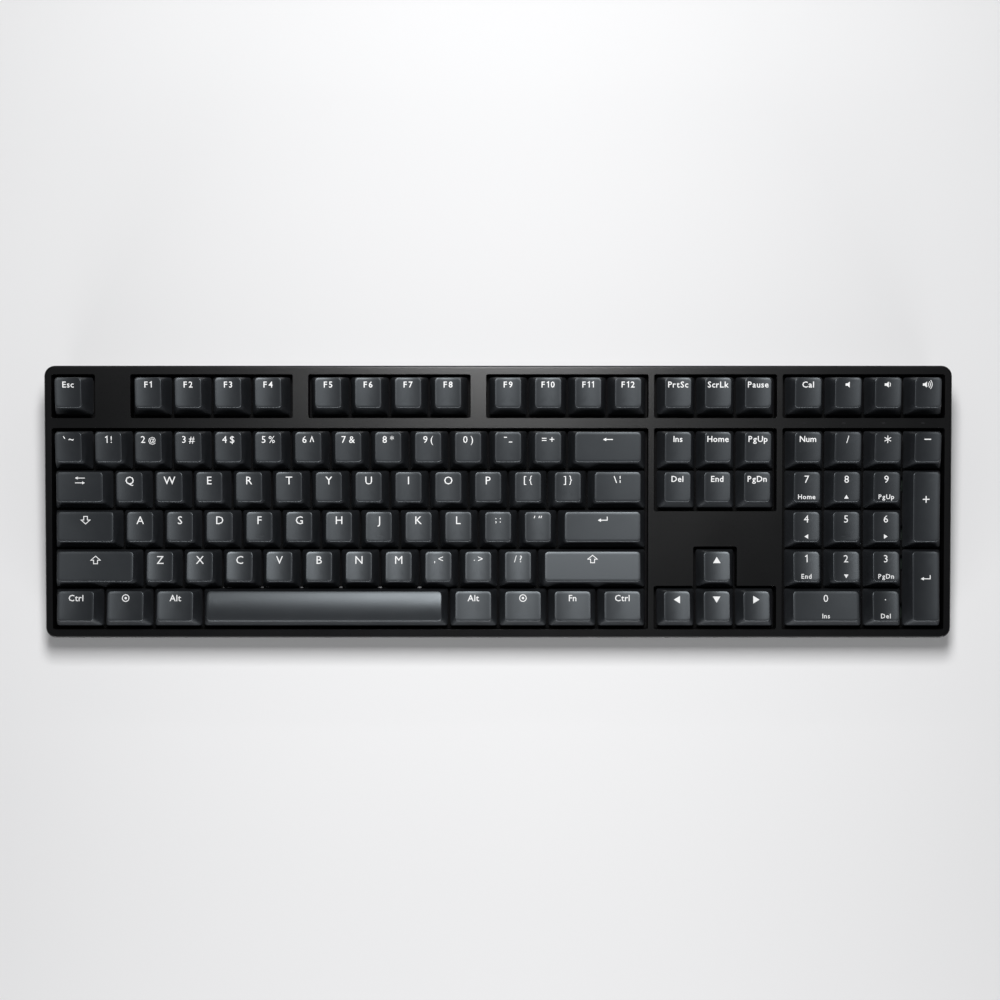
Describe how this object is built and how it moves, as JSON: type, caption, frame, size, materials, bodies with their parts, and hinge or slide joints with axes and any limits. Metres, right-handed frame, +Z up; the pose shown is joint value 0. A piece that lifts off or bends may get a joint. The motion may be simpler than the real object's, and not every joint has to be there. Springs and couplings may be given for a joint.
{
  "type": "mechanical keyboard",
  "caption": "Full-size mechanical keyboard: a black wedge case with sculpted dark grey keycaps that travel straight down, folding rear feet and a rear socket for a detachable lead.",
  "frame": {"origin": "on the desk, under the middle of the case", "axes": "+X to the typist's right, +Y away from the typist, +Z up"},
  "size_m": [0.4378, 0.1335, 0.0412],
  "materials": {
    "case_top": "fine spark-eroded ABS, satin black",
    "case_base": "spark-eroded ABS, black",
    "keycap": "fine-grained PBT, charcoal grey",
    "plate": "black powder-coated steel",
    "board": "solder-masked laminate",
    "rubber": "moulded silicone rubber",
    "steel": "drawn and plated steel",
    "housing": "moulded nylon, black",
    "stem": "moulded acetal, dark red"
  },
  "bodies": {
    "case": {"top_case": "case_top", "bottom_case": "case_base", "switch_plate": "plate", "circuit_board": "board", "usb_socket": "steel", "front_rubber_strip": "rubber", "rear_rubber_strip": "rubber", "esc_switch_base": "housing", "esc_switch_cover": "housing"},
    "left_foot": {"left_foot": "case_base"},
    "right_foot": {"right_foot": "case_base"},
    "key_q": {"key_q": "keycap"},
    "key_w": {"key_w": "keycap"},
    "key_e": {"key_e": "keycap"},
    "key_r": {"key_r": "keycap"},
    "key_t": {"key_t": "keycap"},
    "key_y": {"key_y": "keycap"},
    "key_u": {"key_u": "keycap"},
    "key_i": {"key_i": "keycap"},
    "key_o": {"key_o": "keycap"},
    "key_p": {"key_p": "keycap"},
    "key_a": {"key_a": "keycap"},
    "key_s": {"key_s": "keycap"},
    "key_d": {"key_d": "keycap"},
    "key_f": {"key_f": "keycap"},
    "key_g": {"key_g": "keycap"},
    "key_h": {"key_h": "keycap"},
    "key_j": {"key_j": "keycap"},
    "key_k": {"key_k": "keycap"},
    "key_l": {"key_l": "keycap"},
    "key_z": {"key_z": "keycap"},
    "key_x": {"key_x": "keycap"},
    "key_c": {"key_c": "keycap"},
    "key_v": {"key_v": "keycap"},
    "key_b": {"key_b": "keycap"},
    "key_n": {"key_n": "keycap"},
    "key_m": {"key_m": "keycap"},
    "esc_key": {"esc_keycap": "keycap", "esc_switch_stem": "stem", "esc_switch_spring": "steel"},
    "tab_key": {"tab_key": "keycap"},
    "caps_lock_key": {"caps_lock_key": "keycap"},
    "enter_key": {"enter_key": "keycap"},
    "left_shift_key": {"left_shift_key": "keycap"},
    "space_bar": {"space_bar": "keycap"},
    "f1_to_f4_keys": {"f1_to_f4_keys": "keycap"},
    "f5_to_f8_keys": {"f5_to_f8_keys": "keycap"},
    "f9_to_f12_keys": {"f9_to_f12_keys": "keycap"},
    "system_keys": {"system_keys": "keycap"},
    "media_keys": {"media_keys": "keycap"},
    "number_row_keys": {"number_row_keys": "keycap"},
    "bracket_keys": {"bracket_keys": "keycap"},
    "quote_keys": {"quote_keys": "keycap"},
    "lower_right_keys": {"lower_right_keys": "keycap"},
    "left_modifier_keys": {"left_modifier_keys": "keycap"},
    "right_modifier_keys": {"right_modifier_keys": "keycap"},
    "navigation_keys": {"navigation_keys": "keycap"},
    "arrow_keys": {"arrow_keys": "keycap"},
    "number_pad_keys": {"number_pad_keys": "keycap"},
    "space_stabiliser": {"space_stabiliser_wire": "steel"}
  },
  "joints": [
    {"name": "left_foot_hinge", "type": "hinge", "parent": "case", "child": "left_foot", "pos_m": [-0.165, 0.05643, 0.0038], "axis": [1, 0, 0], "range_deg": [0, 105]},
    {"name": "right_foot_hinge", "type": "hinge", "parent": "case", "child": "right_foot", "pos_m": [0.165, 0.05643, 0.0038], "axis": [1, 0, 0], "range_deg": [0, 105]},
    {"name": "key_q_press", "type": "slide", "parent": "case", "child": "key_q", "axis": [0, 0.0872, -0.9962], "range_m": [0, 0.004], "stiffness_N_per_m": 75, "springref_m": -0.004},
    {"name": "key_w_press", "type": "slide", "parent": "case", "child": "key_w", "axis": [0, 0.0872, -0.9962], "range_m": [0, 0.004], "stiffness_N_per_m": 75, "springref_m": -0.004},
    {"name": "key_e_press", "type": "slide", "parent": "case", "child": "key_e", "axis": [0, 0.0872, -0.9962], "range_m": [0, 0.004], "stiffness_N_per_m": 75, "springref_m": -0.004},
    {"name": "key_r_press", "type": "slide", "parent": "case", "child": "key_r", "axis": [0, 0.0872, -0.9962], "range_m": [0, 0.004], "stiffness_N_per_m": 75, "springref_m": -0.004},
    {"name": "key_t_press", "type": "slide", "parent": "case", "child": "key_t", "axis": [0, 0.0872, -0.9962], "range_m": [0, 0.004], "stiffness_N_per_m": 75, "springref_m": -0.004},
    {"name": "key_y_press", "type": "slide", "parent": "case", "child": "key_y", "axis": [0, 0.0872, -0.9962], "range_m": [0, 0.004], "stiffness_N_per_m": 75, "springref_m": -0.004},
    {"name": "key_u_press", "type": "slide", "parent": "case", "child": "key_u", "axis": [0, 0.0872, -0.9962], "range_m": [0, 0.004], "stiffness_N_per_m": 75, "springref_m": -0.004},
    {"name": "key_i_press", "type": "slide", "parent": "case", "child": "key_i", "axis": [0, 0.0872, -0.9962], "range_m": [0, 0.004], "stiffness_N_per_m": 75, "springref_m": -0.004},
    {"name": "key_o_press", "type": "slide", "parent": "case", "child": "key_o", "axis": [0, 0.0872, -0.9962], "range_m": [0, 0.004], "stiffness_N_per_m": 75, "springref_m": -0.004},
    {"name": "key_p_press", "type": "slide", "parent": "case", "child": "key_p", "axis": [0, 0.0872, -0.9962], "range_m": [0, 0.004], "stiffness_N_per_m": 75, "springref_m": -0.004},
    {"name": "key_a_press", "type": "slide", "parent": "case", "child": "key_a", "axis": [0, 0.0872, -0.9962], "range_m": [0, 0.004], "stiffness_N_per_m": 75, "springref_m": -0.004},
    {"name": "key_s_press", "type": "slide", "parent": "case", "child": "key_s", "axis": [0, 0.0872, -0.9962], "range_m": [0, 0.004], "stiffness_N_per_m": 75, "springref_m": -0.004},
    {"name": "key_d_press", "type": "slide", "parent": "case", "child": "key_d", "axis": [0, 0.0872, -0.9962], "range_m": [0, 0.004], "stiffness_N_per_m": 75, "springref_m": -0.004},
    {"name": "key_f_press", "type": "slide", "parent": "case", "child": "key_f", "axis": [0, 0.0872, -0.9962], "range_m": [0, 0.004], "stiffness_N_per_m": 75, "springref_m": -0.004},
    {"name": "key_g_press", "type": "slide", "parent": "case", "child": "key_g", "axis": [0, 0.0872, -0.9962], "range_m": [0, 0.004], "stiffness_N_per_m": 75, "springref_m": -0.004},
    {"name": "key_h_press", "type": "slide", "parent": "case", "child": "key_h", "axis": [0, 0.0872, -0.9962], "range_m": [0, 0.004], "stiffness_N_per_m": 75, "springref_m": -0.004},
    {"name": "key_j_press", "type": "slide", "parent": "case", "child": "key_j", "axis": [0, 0.0872, -0.9962], "range_m": [0, 0.004], "stiffness_N_per_m": 75, "springref_m": -0.004},
    {"name": "key_k_press", "type": "slide", "parent": "case", "child": "key_k", "axis": [0, 0.0872, -0.9962], "range_m": [0, 0.004], "stiffness_N_per_m": 75, "springref_m": -0.004},
    {"name": "key_l_press", "type": "slide", "parent": "case", "child": "key_l", "axis": [0, 0.0872, -0.9962], "range_m": [0, 0.004], "stiffness_N_per_m": 75, "springref_m": -0.004},
    {"name": "key_z_press", "type": "slide", "parent": "case", "child": "key_z", "axis": [0, 0.0872, -0.9962], "range_m": [0, 0.004], "stiffness_N_per_m": 75, "springref_m": -0.004},
    {"name": "key_x_press", "type": "slide", "parent": "case", "child": "key_x", "axis": [0, 0.0872, -0.9962], "range_m": [0, 0.004], "stiffness_N_per_m": 75, "springref_m": -0.004},
    {"name": "key_c_press", "type": "slide", "parent": "case", "child": "key_c", "axis": [0, 0.0872, -0.9962], "range_m": [0, 0.004], "stiffness_N_per_m": 75, "springref_m": -0.004},
    {"name": "key_v_press", "type": "slide", "parent": "case", "child": "key_v", "axis": [0, 0.0872, -0.9962], "range_m": [0, 0.004], "stiffness_N_per_m": 75, "springref_m": -0.004},
    {"name": "key_b_press", "type": "slide", "parent": "case", "child": "key_b", "axis": [0, 0.0872, -0.9962], "range_m": [0, 0.004], "stiffness_N_per_m": 75, "springref_m": -0.004},
    {"name": "key_n_press", "type": "slide", "parent": "case", "child": "key_n", "axis": [0, 0.0872, -0.9962], "range_m": [0, 0.004], "stiffness_N_per_m": 75, "springref_m": -0.004},
    {"name": "key_m_press", "type": "slide", "parent": "case", "child": "key_m", "axis": [0, 0.0872, -0.9962], "range_m": [0, 0.004], "stiffness_N_per_m": 75, "springref_m": -0.004},
    {"name": "esc_key_press", "type": "slide", "parent": "case", "child": "esc_key", "axis": [0, 0.0872, -0.9962], "range_m": [0, 0.004], "stiffness_N_per_m": 75, "springref_m": -0.004, "deforming": ["esc_switch_spring"]},
    {"name": "tab_key_press", "type": "slide", "parent": "case", "child": "tab_key", "axis": [0, 0.0872, -0.9962], "range_m": [0, 0.004], "stiffness_N_per_m": 75, "springref_m": -0.004},
    {"name": "caps_lock_key_press", "type": "slide", "parent": "case", "child": "caps_lock_key", "axis": [0, 0.0872, -0.9962], "range_m": [0, 0.004], "stiffness_N_per_m": 75, "springref_m": -0.004},
    {"name": "enter_key_press", "type": "slide", "parent": "case", "child": "enter_key", "axis": [0, 0.0872, -0.9962], "range_m": [0, 0.004], "stiffness_N_per_m": 75, "springref_m": -0.004},
    {"name": "left_shift_key_press", "type": "slide", "parent": "case", "child": "left_shift_key", "axis": [0, 0.0872, -0.9962], "range_m": [0, 0.004], "stiffness_N_per_m": 75, "springref_m": -0.004},
    {"name": "space_bar_press", "type": "slide", "parent": "case", "child": "space_bar", "axis": [0, 0.0872, -0.9962], "range_m": [0, 0.004], "stiffness_N_per_m": 75, "springref_m": -0.004},
    {"name": "f1_to_f4_keys_press", "type": "slide", "parent": "case", "child": "f1_to_f4_keys", "axis": [0, 0.0872, -0.9962], "range_m": [0, 0.004], "stiffness_N_per_m": 300, "springref_m": -0.004},
    {"name": "f5_to_f8_keys_press", "type": "slide", "parent": "case", "child": "f5_to_f8_keys", "axis": [0, 0.0872, -0.9962], "range_m": [0, 0.004], "stiffness_N_per_m": 300, "springref_m": -0.004},
    {"name": "f9_to_f12_keys_press", "type": "slide", "parent": "case", "child": "f9_to_f12_keys", "axis": [0, 0.0872, -0.9962], "range_m": [0, 0.004], "stiffness_N_per_m": 300, "springref_m": -0.004},
    {"name": "system_keys_press", "type": "slide", "parent": "case", "child": "system_keys", "axis": [0, 0.0872, -0.9962], "range_m": [0, 0.004], "stiffness_N_per_m": 225, "springref_m": -0.004},
    {"name": "media_keys_press", "type": "slide", "parent": "case", "child": "media_keys", "axis": [0, 0.0872, -0.9962], "range_m": [0, 0.004], "stiffness_N_per_m": 300, "springref_m": -0.004},
    {"name": "number_row_keys_press", "type": "slide", "parent": "case", "child": "number_row_keys", "axis": [0, 0.0872, -0.9962], "range_m": [0, 0.004], "stiffness_N_per_m": 1050, "springref_m": -0.004},
    {"name": "bracket_keys_press", "type": "slide", "parent": "case", "child": "bracket_keys", "axis": [0, 0.0872, -0.9962], "range_m": [0, 0.004], "stiffness_N_per_m": 225, "springref_m": -0.004},
    {"name": "quote_keys_press", "type": "slide", "parent": "case", "child": "quote_keys", "axis": [0, 0.0872, -0.9962], "range_m": [0, 0.004], "stiffness_N_per_m": 150, "springref_m": -0.004},
    {"name": "lower_right_keys_press", "type": "slide", "parent": "case", "child": "lower_right_keys", "axis": [0, 0.0872, -0.9962], "range_m": [0, 0.004], "stiffness_N_per_m": 300, "springref_m": -0.004},
    {"name": "left_modifier_keys_press", "type": "slide", "parent": "case", "child": "left_modifier_keys", "axis": [0, 0.0872, -0.9962], "range_m": [0, 0.004], "stiffness_N_per_m": 225, "springref_m": -0.004},
    {"name": "right_modifier_keys_press", "type": "slide", "parent": "case", "child": "right_modifier_keys", "axis": [0, 0.0872, -0.9962], "range_m": [0, 0.004], "stiffness_N_per_m": 300, "springref_m": -0.004},
    {"name": "navigation_keys_press", "type": "slide", "parent": "case", "child": "navigation_keys", "axis": [0, 0.0872, -0.9962], "range_m": [0, 0.004], "stiffness_N_per_m": 450, "springref_m": -0.004},
    {"name": "arrow_keys_press", "type": "slide", "parent": "case", "child": "arrow_keys", "axis": [0, 0.0872, -0.9962], "range_m": [0, 0.004], "stiffness_N_per_m": 300, "springref_m": -0.004},
    {"name": "number_pad_keys_press", "type": "slide", "parent": "case", "child": "number_pad_keys", "axis": [0, 0.0872, -0.9962], "range_m": [0, 0.004], "stiffness_N_per_m": 1275, "springref_m": -0.004},
    {"name": "space_stabiliser_turn", "type": "hinge", "parent": "case", "child": "space_stabiliser", "pos_m": [-0.08334, -0.04255, 0.01573], "axis": [1, 0, 0], "range_deg": [0, 25.73]}
  ],
  "couplings": [
    {"joint": "space_stabiliser_turn", "follows": "space_bar_press", "rad_per_m": 112.05}
  ]
}
